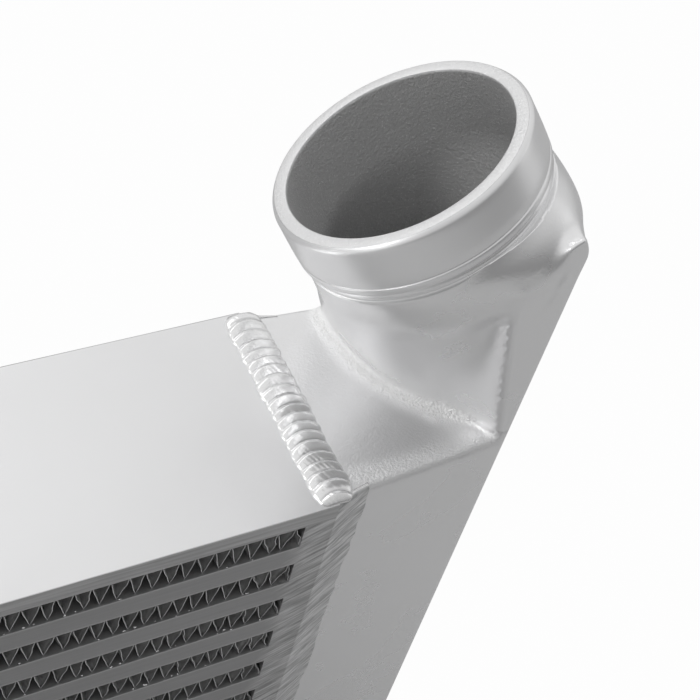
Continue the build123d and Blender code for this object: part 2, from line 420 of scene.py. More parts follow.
def paintTank(piece, points):
    """Marks on the casting: how deep inside the bore, where a darker tone stands in as painted shade; how much the lip
    is turned; how coarse the grain is; and a band round the neck's root that carries coarser grain and a painted
    highlight on the fillet.
    """
    u, v, drop = neckPlace(points)
    around = np.hypot(u, v)
    # inside: share of the darker bore tone, painted shade down the bore; the rim's flat land takes 0.45 of the same
    # darker tone
    inside = np.clip((tank["boreRadius"] + 0.5 - around) / 0.4, 0, 1) * np.clip(drop / 0.8, 0, 1)
    land = (drop < 0.2) * (around < tank["rimRadius"])
    inside = np.maximum(inside, 0.45 * land)
    inside = np.where(drop > tank["pipeDrop"], np.where(ductField(points) > -1.5, 1.0, 0.0)
                      * (tankField(points) < -1.5), inside * (drop > -1) * (drop < tank["pipeDrop"] + 1))
    turned = np.clip((tank["lipHeight"] + 2.4 - drop) / 0.3, 0, 1) * (around < 34) * (1 - inside)
    fromRoot = np.hypot(points[:, 0] - tank["rootCentre"][0], points[:, 1] - tank["rootCentre"][1])
    rise = points[:, 2] - core["height"]
    # root: band along the fillet where the neck meets the tank top; it adds coarser grain and bump, and whitens the
    # colour as a painted highlight on the fillet line
    root = np.exp(-((fromRoot - tank["rootRadius"] - 1.5) / 1.9) ** 2) * np.exp(-(rise / 3.2) ** 2)
    front = np.exp(-((points[:, 1] + tank["mouthHalf"] - 3) / 3.2) ** 2) * np.exp(-(rise / 2.5) ** 2)
    top = np.clip(1 - np.abs(rise) / 1.5, 0, 1)
    grain = np.clip(root + 0.9 * front + 0.14 * top, 0, 1)
    for name, values in (("inside", inside), ("turned", turned), ("grain", grain), ("root", root)):
        layer = piece.data.attributes.new(name, "FLOAT", "POINT")
        layer.data.foreach_set("value", np.asarray(values, np.float32))


def castRays(field, origins, directions, steps=90):
    """Where rays that start inside a form leave it: each ray walks on by the distance that is left."""
    reach = np.full(directions.shape[:-1], 1.0)
    for _ in range(steps):
        left = field(origins + directions * reach[..., None])
        reach = np.clip(reach - left * 0.85, 0.5, 400.0)
    return origins + directions * reach[..., None]


def planReach(angles, inset):
    """How far the tank's walls lie from a line up its middle, in each direction."""
    middle = tank["spine"][0] - core["halfWidth"]
    dx, dy = np.cos(angles), np.abs(np.sin(angles))
    side = (tank["mouthHalf"] - inset - middle * tank["draft"]) / np.maximum(dy + dx * tank["draft"], 1e-3)
    outer = (tank["reach"] - middle - inset) / np.maximum(dx, 1e-3)
    mouth = (middle - inset) / np.maximum(-dx, 1e-3)
    return np.minimum(np.minimum(side, outer), mouth)


def aimedRays(angles, inset, pipeRadius, endDrop, counts):
    """Origins along a spine, and aims on a rough outline of the casting: out over its bottom, up its
    walls, in over its top to the foot, and up the neck in straight lines to a circle below the lip."""
    ring = np.stack([np.cos(angles), np.sin(angles), np.zeros(len(angles))], axis=-1)
    spineX, spineY = tank["spine"]
    foot = np.array([*tank["footCentre"], 0.0])
    outline = np.array([spineX, spineY, 0.0]) + ring * planReach(angles, inset)[:, None]
    root = foot + ring * np.minimum(footRadius(angles) - inset, 40.0)[:, None]
    top, bottom = core["height"] - inset, inset
    pipeEnd = rimCentre - neckAxis * endDrop
    circle = pipeEnd + pipeRadius * (neckAcross * np.cos(angles)[:, None] + neckBack * np.sin(angles)[:, None])
    up = np.array([0, 0, 1.0])
    legs = (
        # aim from, aim to, origin from, origin to
        (outline * 0.02 + np.array([spineX, spineY, 0]) * 0.98 + up * bottom, outline + up * bottom,
         (spineX, spineY, 16), (spineX, spineY, 16)),
        (outline + up * bottom, outline + up * top, (spineX, spineY, 16), (spineX, spineY, 168)),
        (outline + up * top, root + up * top, (spineX, spineY, 168), (*tank["footCentre"], 181)),
        (root + up * top, circle, (*tank["footCentre"], 181), pipeEnd),
    )
    origins, aims = [], []
    for (start, end, low, high), count in zip(legs, counts):
        share = np.linspace(0, 1, count, endpoint=False)[:, None, None]
        aims.append(start[None] * (1 - share) + end[None] * share)
        origins.append(np.array(low) * (1 - share) + np.array(high) * share)
    aims.append(circle[None])
    origins.append(np.array(pipeEnd)[None, None])
    return np.concatenate(origins), np.concatenate(aims)


def surfaceGrid(field, angles, rows, fine, coarse, *rays):
    """Grid of surface points where aimed rays leave the form. Each column is then spaced again,
    close together where the surface turns and wide apart where it is flat."""
    origins, aims = aimedRays(angles, *rays)
    directions = aims - origins
    directions /= np.linalg.norm(directions, axis=-1, keepdims=True)
    points = castRays(field, origins, directions)
    points[-1] = aims[-1]
    step = np.diff(points, axis=0)
    length = np.linalg.norm(step, axis=-1)
    heading = step / np.maximum(length, 1e-6)[..., None]
    turn = np.zeros(points.shape[:2])
    turn[1:-1] = np.arccos(np.clip(np.sum(heading[1:] * heading[:-1], axis=-1), -1, 1))
    turn *= np.minimum(np.concatenate([length, length[-1:]]) / 0.02, 1)
    blur = np.hanning(13)[:, None] / np.hanning(13).sum()
    padded = np.pad(turn, ((6, 6), (0, 0)), mode="edge")
    spread = sum(padded[i:i + len(turn)] * blur[i] for i in range(13))
    density = length / coarse + 0.5 * (spread[1:] + spread[:-1]) / fine
    around = np.hanning(13)[1:-1] / np.hanning(13).sum()
    density = sum(np.roll(density, i - 5, axis=1) * weight for i, weight in enumerate(around))
    total = np.concatenate([np.zeros((1, density.shape[1])), np.cumsum(density, axis=0)])
    total /= total[-1]
    wanted = np.linspace(0, 1, rows)
    result = np.empty((rows, len(angles), 3))
    for column in range(len(angles)):
        for i in range(3):
            result[:, column, i] = np.interp(wanted, total[:, column], points[:, column, i])
    return result


def lipRings(angles):
    """Turned rings about the neck's axis, from the groove below the lip over the rim and into the bore."""
    lip, rim, bore = tank["lipRadius"], tank["rimRadius"], tank["boreRadius"]
    low = tank["lipHeight"]
    profile = [
        (tank["pipeRadius"], low + 4.2), (tank["pipeRadius"] + 0.02, low + 3.7), (tank["pipeRadius"] + 0.26, low + 3.3),
        (tank["pipeRadius"] + 0.34, low + 3.0), (tank["pipeRadius"] + 0.1, low + 2.6), (tank["pipeRadius"] + 0.02, low + 2.35),
        (tank["pipeRadius"] + 0.15, low + 2.1), (lip - 0.12, low + 1.9), (lip + 0.02, low + 1.7),
        (lip + 0.02, low + 0.4), (lip - 0.05, low + 0.25), (lip - 0.28, low + 0.1), (lip - 0.28, low - 0.1),
        (lip - 0.02, low - 0.3), (lip + 0.05, low - 0.5), (lip + 0.05, low * 0.75), (lip - 0.02, low * 0.5),
        (lip - 0.1, 3.2), (lip - 0.14, 1.5), (lip - 0.22, 1.15), (lip - 0.42, 0.8), (rim + 0.3, 0.3),
        (rim + 0.14, 0.12), (rim - 0.02, 0.03), (rim - 0.2, 0.0), (bore + 0.4, 0.0), (bore + 0.22, 0.04),
        (bore + 0.09, 0.14), (bore + 0.02, 0.32), (bore, 0.8), (bore, 5.0), (bore, 11.0), (bore, tank["pipeDrop"]),
    ]
    radius, drop = np.array(profile).T
    ring = neckAcross[None] * np.cos(angles)[:, None] + neckBack[None] * np.sin(angles)[:, None]
    return rimCentre - neckAxis * drop[:, None, None] + ring[None] * radius[:, None, None]


def makeTank():
    angles = np.linspace(0, 2 * math.pi, tank["columns"], endpoint=False)
    # columns stand closer together round the upright
    angles = angles - tank["columnSqueeze"] * np.sin(angles - tank["columnFocus"])
    counts = ((60, 90, 240, 420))
    outer = surfaceGrid(tankField, angles, tank["outerRows"], 0.10, 2.4,
                        0.0, tank["pipeRadius"], tank["lipHeight"] + 4.2, counts)
    inner = surfaceGrid(ductField, angles, tank["innerRows"], 0.5, 5.0,
                        tank["wall"], tank["boreRadius"], tank["pipeDrop"] + 1.0, (20, 30, 60, 80))[::-1]
    rings = np.concatenate([outer, lipRings(angles), inner])
    rows = len(rings)
    columns = tank["columns"]
    points = np.concatenate([rings.reshape(-1, 3), outer[0].mean(axis=0, keepdims=True),
                             inner[-1].mean(axis=0, keepdims=True)])
    first, last = rows * columns, rows * columns + 1
    here = np.arange(columns)
    after = (here + 1) % columns
    base = (rows - 1) * columns
    caps = np.concatenate([np.stack([np.full(columns, first), after, here], axis=1),
                           np.stack([np.full(columns, last), base + here, base + after], axis=1)])
    piece = makeMesh("endTankRight", points * millimetre, gridFaces(rows, columns, wrapColumns=True), caps)
    normals = np.empty((len(points), 3), np.float32)
    piece.data.vertex_normals.foreach_get("vector", normals.ravel())
    for field, low, high, sign in ((tankField, 0, outer.size // 3, 1), (ductField, len(points) - 2 - inner.size // 3,
                                                                      len(points) - 2, -1)):
        exact = sign * fieldNormals(field, points[low:high])
        close = np.sum(exact * normals[low:high], axis=1, keepdims=True) > 0.8
        normals[low:high] = np.where(close, exact, normals[low:high])
    piece.data.normals_split_custom_set_from_vertices(normals)
    paintTank(piece, points)
    return piece


tankRight = makeTank()
tankLeft = mirrored(tankRight, "endTankLeft")
print("end tanks made:", len(tankRight.data.polygons), "faces each")


# ---- smooth wander, the same on every run


def wander(values, seed, scale):
    """Smooth noise between -1 and 1: eased steps between fixed random numbers, one for each whole place."""
    values = np.asarray(values, float) / scale
    steps = np.random.default_rng(seed).uniform(-1, 1, 4096)
    whole = np.floor(values).astype(int)
    part = values - whole
    part = part * part * (3 - 2 * part)
    return steps[whole % 4096] * (1 - part) + steps[(whole + 1) % 4096] * part


# ---- folded fins

fins = {
    "pitch": 4.3,
    "gauge": 0.2,
    "recess": 0.6,
    "legPoints": 5,
    "depths": (0.0, 0.9, 2.2, 4.2, 7.5, 14.0),
    "curl": 0.30,
    "jitter": 0.30,
    "waver": 0.42,
    "crushLength": 16.0,
}


def makeFinRow(row):
    """One layer's fin: a zigzag x(p), z(p) of rounded folds, thickened by its gauge, carried through the
    core's depth while it wavers from side to side."""
    run = 2 * (core["halfWidth"] - core["endBar"]) - 0.3
    legs = 2 * round(run / fins["pitch"])
    p = np.linspace(0, legs, legs * fins["legPoints"] + 1)
    height = core["finHeight"] / 2 - fins["gauge"] / 2
    wave = 1 - 2 * np.abs(p % 2 - 1)
    z = height * np.clip(wave * 1.06, -1, 1)
    base = p * run / legs - run / 2
    fold = np.round(p)
    edge = np.clip((np.abs(base) - core["halfWidth"] + core["endBar"] + fins["crushLength"]) / fins["crushLength"], 0, 1)
    amount = fins["jitter"] * (1 + 2.2 * edge)
    lean = wander(fold + 400 * row, 11, 1.0) * amount
    bow = fins["curl"] * np.sin(math.pi * (p - np.floor(p))) * (0.7 + 0.6 * wander(np.floor(p) + 90 * row, 5, 1.0))
    bow = bow * (1 + 1.3 * edge) * np.where(np.floor(p) % 2 == 0, 1, -0.35)
    floor = core["sidePlate"] + row * rowStep + core["finHeight"] / 2
    front = np.array(fins["depths"])
    deep = core["halfDepth"] - fins["recess"]
    y = np.concatenate([front - deep, [0.0], deep - front[::-1]])
    near = np.exp(-(np.minimum(np.arange(len(y)), np.arange(len(y))[::-1]) / 1.6) ** 2)
    rows = []
    strength = fins["waver"] * (0.5 + 0.9 * abs(math.sin(row * 1.9 + 0.4)))
    for place, share in zip(y, near):
        drift = strength * np.sin(place * 0.8 + row * 2.1 + 0.35 * base / fins["pitch"])
        local = base + (lean + bow) * (0.45 + 0.55 * share) + drift * (1 - 0.6 * share) * np.abs(z / height) ** 0
        local = local + 0.12 * wander(p * 2.3 + 77 * row, 23, 1.0) * share
        local = np.clip(local, -run / 2, run / 2)
        dx, dz = np.gradient(local), np.gradient(z)
        size = np.maximum(np.hypot(dx, dz), 1e-6)
        nx, nz = -dz / size * fins["gauge"] / 2, dx / size * fins["gauge"] / 2
        upper = np.stack([local + nx, np.full(len(p), place), z + nz + floor], axis=-1)
        lower = np.stack([local - nx, np.full(len(p), place), z - nz + floor], axis=-1)
        rows.append(np.concatenate([upper, lower[::-1]]))
    points = np.array(rows)
    limit = core["finHeight"] / 2
    points[..., 2] = np.clip(points[..., 2], floor - limit, floor + limit)
    count, around = points.shape[:2]
    half = around // 2
    i = np.arange(half - 1)
    cap = np.stack([i, i + 1, around - 2 - i, around - 1 - i], axis=1)
    last = (count - 1) * around
    faces = np.concatenate([gridFaces(count, around, wrapColumns=True), cap, cap[:, ::-1] + last])
    return makeMesh(f"fin{row + 1:02d}", points.reshape(-1, 3) * millimetre, faces)


finPieces = [makeFinRow(row) for row in range(core["rows"])]
print("fins made:", len(finPieces), "rows of", len(finPieces[0].data.polygons), "faces")

# ---- braze droplets

droplets = {"perRow": 78, "small": 0.16, "large": 0.36}


def makeDroplets():
    """Beads of braze along the lower edge of each row of fins: squashed balls on the core's two faces."""
    rng = np.random.default_rng(7)
    latitude = np.array([0.0, 0.55, 1.05, 1.57, 2.1, 2.6, math.pi])[1:-1]
    longitude = np.linspace(0, 2 * math.pi, 8, endpoint=False)
    ring = np.stack([np.sin(latitude)[:, None] * np.cos(longitude), np.cos(latitude)[:, None] * np.ones(8),
                     np.sin(latitude)[:, None] * np.sin(longitude)], axis=-1).reshape(-1, 3)
    ball = np.concatenate([ring, [[0, 1, 0], [0, -1, 0]]])
    quads = gridFaces(5, 8, wrapColumns=True)
    i = np.arange(8)
    tips = np.concatenate([np.stack([np.full(8, 40), i, (i + 1) % 8], 1),
                           np.stack([np.full(8, 41), 32 + (i + 1) % 8, 32 + i], 1)])
    count = core["rows"] * droplets["perRow"] * 2
    row = np.repeat(np.arange(core["rows"]), droplets["perRow"] * 2)
    side = np.where(np.arange(count) % 2 == 0, -1.0, 1.0)
    reach = core["halfWidth"] - core["endBar"]
    size = rng.uniform(droplets["small"], droplets["large"], count) * rng.uniform(0.6, 1, count)
    x = rng.uniform(-reach, reach - 1, count)
    level = core["sidePlate"] + row * rowStep
    z = level + np.abs(rng.normal(0.05, 0.22, count))
    top = rng.uniform(0, 1, count) < 0.16
    z = np.where(top, level + core["finHeight"] - np.abs(rng.normal(0.05, 0.15, count)), z)
    y = side * (core["halfDepth"] - size * 0.75 - rng.uniform(0.0, 0.5, count))
    stretch = np.stack([size * rng.uniform(0.8, 1.9, count), size * 0.7, size * rng.uniform(0.6, 1.0, count)], axis=-1)
    points = ball[None] * stretch[:, None] + np.stack([x, y, z], axis=-1)[:, None]
    shift = (np.arange(count) * len(ball))[:, None, None]
    return makeMesh("brazeBeads", points.reshape(-1, 3) * millimetre, quads[None] + shift, tips[None] + shift)


brazeBeads = makeDroplets()
print("braze beads made")

# ---- welds

weld = {
    "left": -5.5,
    "right": 5.2,
    "rise": 1.75,
    "pitch": 3.15,
    "ripple": 0.72,
    "bow": 0.055,
    "grooveWidth": 0.10,
    "rampLength": 9.6,
    "rampEdge": 0.3,
    "acrossPoints": 34,
    "alongPoints": 520,
}


def makeBead():
    """Stacked weld bead over the top of the joint: an arched section h(x) whose scallops follow
    curved lines y + bow x^2 = constant, each rising slowly and dropping off at its edge."""
    half = core["halfDepth"] - 0.5
    y = np.linspace(-half, half, weld["alongPoints"])[:, None]
    t = np.linspace(-1, 1, weld["acrossPoints"])[None, :]
    centre = (weld["left"] + weld["right"]) / 2 + 0.22 * wander(y, 31, 5.0)
    width = (weld["right"] - weld["left"]) / 2 * (1 + 0.035 * wander(y + 50, 37, 2.4))
    ends = np.clip((half - np.abs(y)) / 4.6, 0, 1)
    taper = np.sqrt(1 - (1 - ends) ** 2)
    x = centre + t * (width * (0.45 + 0.55 * taper) + 0.12 * np.sin(2 * math.pi * y / weld["pitch"]) * taper)
    uneven = 0.55 * wander(y, 41, 6.0)
    phase = (y + uneven + weld["bow"] * (x - centre) ** 2) / weld["pitch"]
    part = phase - np.floor(phase)
    scallop = np.where(part < 0.72, (part / 0.72) ** 0.8, (1 - (part - 0.72) / 0.28) ** 1.4)
    strength = 0.82 + 0.3 * wander(np.floor(phase) * 1.0, 43, 1.0)
    arch = np.clip(1 - t ** 2, 0, 1) ** 0.62
    height = weld["rise"] * arch * (0.86 + 0.08 * wander(y, 47, 7.0)) * taper
    height += weld["ripple"] * (scallop - 0.5) * arch ** 0.8 * strength * taper
    lump = 0.5 * np.exp(-((y + half - 4.2) / 3.2) ** 2) + 0.4 * np.exp(-((y - half + 4.0) / 3.0) ** 2)
    height += lump * arch
    height = np.maximum(height, 0.03) + 0.05 * wander(x * 3 + y * 1.7, 53, 1.0) * arch
    toe = 0.16 * np.exp(-((t + 0.97) / 0.022) ** 2)
    height = height + toe
    # groove marks the crease at each scallop's edge; it only darkens the colour there, as painted shade
    groove = np.exp(-(np.minimum(part, 1 - part) / weld["grooveWidth"]) ** 2) * np.sqrt(arch) * taper
    top = np.stack(np.broadcast_arrays(core["halfWidth"] + x, y, core["height"] + height, groove), axis=-1)
    under = top[:, ::-1].copy()
    under[..., 2] = core["height"] - 0.3
    return np.concatenate([top, under], axis=1)


def makeRamp(side):
    """Ground joint down the front or back: from the core's face to the tank's drafted wall, a little wavy."""
    z = np.linspace(0, core["height"], 190)[:, None]
    s = np.linspace(0, 1, 16)[None, :]
    length = weld["rampLength"] + 0.5 * wander(z, 61 + side, 4.0)
    x = core["halfWidth"] + s * length
    wall = tank["mouthHalf"] - (x - core["halfWidth"]) * tank["draft"]
    start = core["halfDepth"]
    end = tank["mouthHalf"] - length * tank["draft"] + weld["rampEdge"] * 0.35
    face = start + (end - start) * s + 0.10 * np.sin(math.pi * s) * wander(z * 1.0 + 9 * s, 67, 1.6)
    face = np.minimum(face, start)
    round_ = np.clip((1.6 - (core["height"] - z)) / 1.6, 0, 1)
    face = face - 1.5 * (1 - np.sqrt(1 - round_ ** 2)) * (1 - 0.3 * s)
    outer = np.stack(np.broadcast_arrays(x, side * face, z), axis=-1)
    inner = np.stack(np.broadcast_arrays(x, side * (np.minimum(wall, face) - 0.4), z), axis=-1)[:, ::-1]
    return np.concatenate([outer, inner], axis=1)


def makeUnderBead():
    """Flush filling of the bevel under the mouth, with a slightly bowed lower face."""
    y = np.linspace(-tank["mouthHalf"] + 0.6, tank["mouthHalf"] - 0.6, 120)[:, None]
    turn = np.linspace(0, 2 * math.pi, 12, endpoint=False)[None, :]
    size = 1.0 + 0.06 * wander(y, 71, 2.0)
    x = core["halfWidth"] + 0.95 + size * 0.95 * np.cos(turn)
    z = 1.02 + size * 0.9 * np.sin(turn)
    return np.stack(np.broadcast_arrays(x, y, z), axis=-1)


def makeWeld():
    allPoints, allFaces, allGrooves, shift = [], [], [], 0
    for grid in (makeBead(), makeRamp(-1), makeRamp(1), makeUnderBead()):
        count, around = grid.shape[:2]
        half = around // 2
        i = np.arange(half - 1)
        cap = np.stack([i, i + 1, around - 2 - i, around - 1 - i], axis=1)
        faces = np.concatenate([gridFaces(count, around, wrapColumns=True), cap[:, ::-1], cap + (count - 1) * around])
        points = grid[..., :3].reshape(-1, 3) * millimetre
        if insideOut(points, [faces]):
            faces = faces[:, ::-1]
        allPoints.append(points)
        allGrooves.append(grid[..., 3].ravel() if grid.shape[-1] > 3 else np.zeros(len(points)))
        allFaces.append(faces + shift)
        shift += len(points)
    piece = makeMesh("weldRight", np.concatenate(allPoints), np.concatenate(allFaces))
    layer = piece.data.attributes.new("groove", "FLOAT", "POINT")
    layer.data.foreach_set("value", np.concatenate(allGrooves).astype(np.float32))
    return piece


weldRight = makeWeld()
weldLeft = mirrored(weldRight, "weldLeft")
print("welds made:", len(weldRight.data.polygons), "faces each")

# ---- shader groups


def newGroup(name, inputs, outputs):
    group = bpy.data.node_groups.new(name, "ShaderNodeTree")
    for label, kind, value in inputs:
        socket = group.interface.new_socket(name=label, in_out="INPUT", socket_type="NodeSocket" + kind)
        socket.default_value = value
    for label, kind in outputs:
        group.interface.new_socket(name=label, in_out="OUTPUT", socket_type="NodeSocket" + kind)
    return group, group.nodes.new("NodeGroupInput"), group.nodes.new("NodeGroupOutput")


def addNode(tree, kind, links=(), **settings):
    """New node of a kind, its sockets set or linked from (socket name or number, value or other socket)."""
    node = tree.nodes.new("ShaderNode" + kind)
    for key, value in settings.items():
        setattr(node, key, value)
    for socket, value in links:
        if isinstance(value, bpy.types.NodeSocket):
            tree.links.new(value, node.inputs[socket])
        else:
            node.inputs[socket].default_value = value
    return node


def blend(tree, share, low, high):
    """Value that goes from low to high as share goes from 0 to 1."""
    return addNode(tree, "MapRange", (("Value", share), ("To Min", low), ("To Max", high))).outputs["Result"]


def multiply(tree, a, b):
    return addNode(tree, "Math", ((0, a), (1, b)), operation="MULTIPLY").outputs[0]


def addUp(tree, a, b):
    return addNode(tree, "Math", ((0, a), (1, b)), operation="ADD").outputs[0]


def sharpen(tree, value):
    """Noise stays near a half, so the middle of its range is spread from 0 to 1."""
    return addNode(tree, "MapRange", (("Value", value), ("From Min", 0.36), ("From Max", 0.64))).outputs["Result"]


def makeCastGrain():
    """Sandcast skin: fine pebbles with scattered bright pits, and a slow cloud of tone."""
    group, entry, leave = newGroup("castGrain", (("Pebble Scale", "Float", 900.0), ("Cloud Scale", "Float", 60.0)),
                                   (("Pebbles", "Float"), ("Sparkle", "Float"), ("Cloud", "Float")))
    place = addNode(group, "TexCoord").outputs["Object"]
    fine = addNode(group, "TexNoise", (("Vector", place), ("Scale", entry.outputs["Pebble Scale"]), ("Detail", 3.0),
                                       ("Roughness", 0.65))).outputs["Fac"]
    cells = addNode(group, "TexVoronoi", (("Vector", place), ("Scale", entry.outputs["Pebble Scale"])))
    spark = addNode(group, "MapRange", (("Value", cells.outputs["Distance"]), ("From Min", 0.28), ("From Max", 0.05)))
    cloud = addNode(group, "TexNoise", (("Vector", place), ("Scale", entry.outputs["Cloud Scale"]),
                                        ("Detail", 4.0))).outputs["Fac"]
    group.links.new(fine, leave.inputs["Pebbles"])
    group.links.new(spark.outputs["Result"], leave.inputs["Sparkle"])
    group.links.new(cloud, leave.inputs["Cloud"])
    return group


def makeBrushLines():
    """Brushed strokes: noise squeezed across the stroke and drawn out along it, at two widths."""
    group, entry, leave = newGroup("brushLines", (("Turn", "Vector", (0, 0, 0)), ("Squeeze", "Vector", (30, 900, 900))),
                                   (("Strokes", "Float"), ("Wide Strokes", "Float")))
    place = addNode(group, "TexCoord").outputs["Object"]
    turned = addNode(group, "Mapping", (("Vector", place), ("Rotation", entry.outputs["Turn"]))).outputs["Vector"]
    drawn = addNode(group, "VectorMath", ((0, turned), (1, entry.outputs["Squeeze"])), operation="MULTIPLY").outputs[0]
    thin = addNode(group, "TexNoise", (("Vector", drawn), ("Scale", 1.0), ("Detail", 3.0), ("Roughness", 0.6)))
    broad = addNode(group, "TexNoise", (("Vector", drawn), ("Scale", 0.27), ("Detail", 2.0)))
    group.links.new(thin.outputs["Fac"], leave.inputs["Strokes"])
    group.links.new(broad.outputs["Fac"], leave.inputs["Wide Strokes"])
    return group


castGrain = makeCastGrain()
brushLines = makeBrushLines()


def useGroup(tree, group, **values):
    node = tree.nodes.new("ShaderNodeGroup")
    node.node_tree = group
    for name, value in values.items():
        node.inputs[name.replace("_", " ")].default_value = value
    return node


def newMetal(name, colour, roughness, metallic=1.0):
    material = bpy.data.materials.new(name)
    material.use_nodes = True
    shader = material.node_tree.nodes["Principled BSDF"]
    shader.inputs["Base Color"].default_value = (*colour, 1)
    shader.inputs["Roughness"].default_value = roughness
    shader.inputs["Metallic"].default_value = metallic
    return material, material.node_tree, shader


def tint(tree, share, dark, light):
    """Grey ramp between two colours."""
    mix = addNode(tree, "Mix", data_type="RGBA")
    tree.links.new(share, mix.inputs["Factor"])
    mix.inputs["A"].default_value = (*dark, 1)
    mix.inputs["B"].default_value = (*light, 1)
    return mix.outputs["Result"]


def addBump(tree, shader, height, depth, strength=1.0):
    bump = addNode(tree, "Bump", (("Strength", strength), ("Distance", depth), ("Height", height)))
    tree.links.new(bump.outputs["Normal"], shader.inputs["Normal"])
    return bump


tankFinish = {
    "skin": (0.80, 0.80, 0.805),
    "skinLight": (0.90, 0.90, 0.905),
    # darker grey for the bore's inside: painted shade in the recess
    "inside": (0.58, 0.58, 0.58),
    "skinRoughness": 0.28,
    "lipRoughness": 0.34,
    "insideRoughness": 0.62,
    "metallic": 0.85,
}


def makeTankMetal():
    material, tree, shader = newMetal("castAluminium", tankFinish["skin"], 0.4, tankFinish["metallic"])
    grain = useGroup(tree, castGrain, Pebble_Scale=1300.0, Cloud_Scale=45.0)
    marks = {name: addNode(tree, "Attribute", attribute_name=name).outputs["Fac"]
             for name in ("inside", "turned", "grain", "root")}
    soft = tint(tree, blend(tree, grain.outputs["Cloud"], 0.25, 0.75), tankFinish["skin"], tankFinish["skinLight"])
    specksAndFilletHighlight = multiply(tree, grain.outputs["Sparkle"], marks["grain"])
    # the root band adds white to the colour: a painted highlight along the fillet line, on top of the random bright
    # specks
    specksAndFilletHighlight = addUp(tree, multiply(tree, specksAndFilletHighlight, 0.8), multiply(tree, marks["root"], 1.2))
    whitened = addNode(tree, "Mix", data_type="RGBA")
    tree.links.new(specksAndFilletHighlight, whitened.inputs["Factor"])
    tree.links.new(soft, whitened.inputs["A"])
    whitened.inputs["B"].default_value = (0.98, 0.98, 0.98, 1)
    # towards the inside grey down the bore: painted shade, with coarse specks
    dark = addNode(tree, "Mix", data_type="RGBA")
    tree.links.new(marks["inside"], dark.inputs["Factor"])
    tree.links.new(whitened.outputs["Result"], dark.inputs["A"])
    speckled = tint(tree, grain.outputs["Sparkle"], tankFinish["inside"], (0.78, 0.78, 0.78))
    tree.links.new(speckled, dark.inputs["B"])
    tree.links.new(dark.outputs["Result"], shader.inputs["Base Color"])
    rough = blend(tree, marks["turned"], tankFinish["skinRoughness"], tankFinish["lipRoughness"])
    rough = addUp(tree, rough, multiply(tree, marks["inside"], tankFinish["insideRoughness"] - tankFinish["skinRoughness"]))
    rough = addUp(tree, rough, multiply(tree, addUp(tree, grain.outputs["Cloud"], -0.5), 0.12))
    rough = addUp(tree, rough, multiply(tree, marks["grain"], 0.3))
    tree.links.new(rough, shader.inputs["Roughness"])
    depth = addUp(tree, blend(tree, marks["turned"], 0.10, 0.04), multiply(tree, marks["grain"], 1.2))
    depth = addUp(tree, depth, multiply(tree, marks["root"], 0.8))
    depth = addUp(tree, depth, multiply(tree, marks["inside"], 0.7))
    height = multiply(tree, grain.outputs["Pebbles"], depth)
    addBump(tree, shader, height, 0.0004)
    return material


def makePlateMetal():
    material, tree, shader = newMetal("platedSheet", (0.84, 0.84, 0.845), 0.36, 0.85)
    grain = useGroup(tree, castGrain, Pebble_Scale=700.0, Cloud_Scale=14.0)
    brush = useGroup(tree, brushLines, Squeeze=(40.0, 900.0, 900.0))
    colour = tint(tree, grain.outputs["Cloud"], (0.79, 0.79, 0.795), (0.88, 0.88, 0.885))
    # the sheet's long cut faces are duller than its top
    place = addNode(tree, "TexCoord").outputs["Object"]
    depth = addNode(tree, "SeparateXYZ", ((0, place),)).outputs["Y"]
    depth = addNode(tree, "Math", ((0, depth),), operation="ABSOLUTE").outputs[0]
    half = core["halfDepth"] * millimetre
    cut = addNode(tree, "MapRange", (("Value", depth), ("From Min", half - 0.0003), ("From Max", half - 0.0001)))
    cutTone = tint(tree, sharpen(tree, brush.outputs["Strokes"]), (0.40, 0.40, 0.403), (0.54, 0.54, 0.543))
    faced = addNode(tree, "Mix", data_type="RGBA")
    tree.links.new(cut.outputs["Result"], faced.inputs["Factor"])
    tree.links.new(colour, faced.inputs["A"])
    tree.links.new(cutTone, faced.inputs["B"])
    tree.links.new(faced.outputs["Result"], shader.inputs["Base Color"])
    rough = addUp(tree, multiply(tree, grain.outputs["Cloud"], 0.14), 0.30)
    tree.links.new(rough, shader.inputs["Roughness"])
    both = addUp(tree, multiply(tree, grain.outputs["Pebbles"], 0.5), multiply(tree, brush.outputs["Strokes"], 0.5))
    addBump(tree, shader, both, 0.00003)
    return material


barFinish = {
    "dark": (0.31, 0.31, 0.313),
    "light": (0.43, 0.43, 0.433),
    "edge": (0.62, 0.62, 0.625),
    "ground": (0.66, 0.66, 0.665),
    "groundFrom": 0.2467,
}


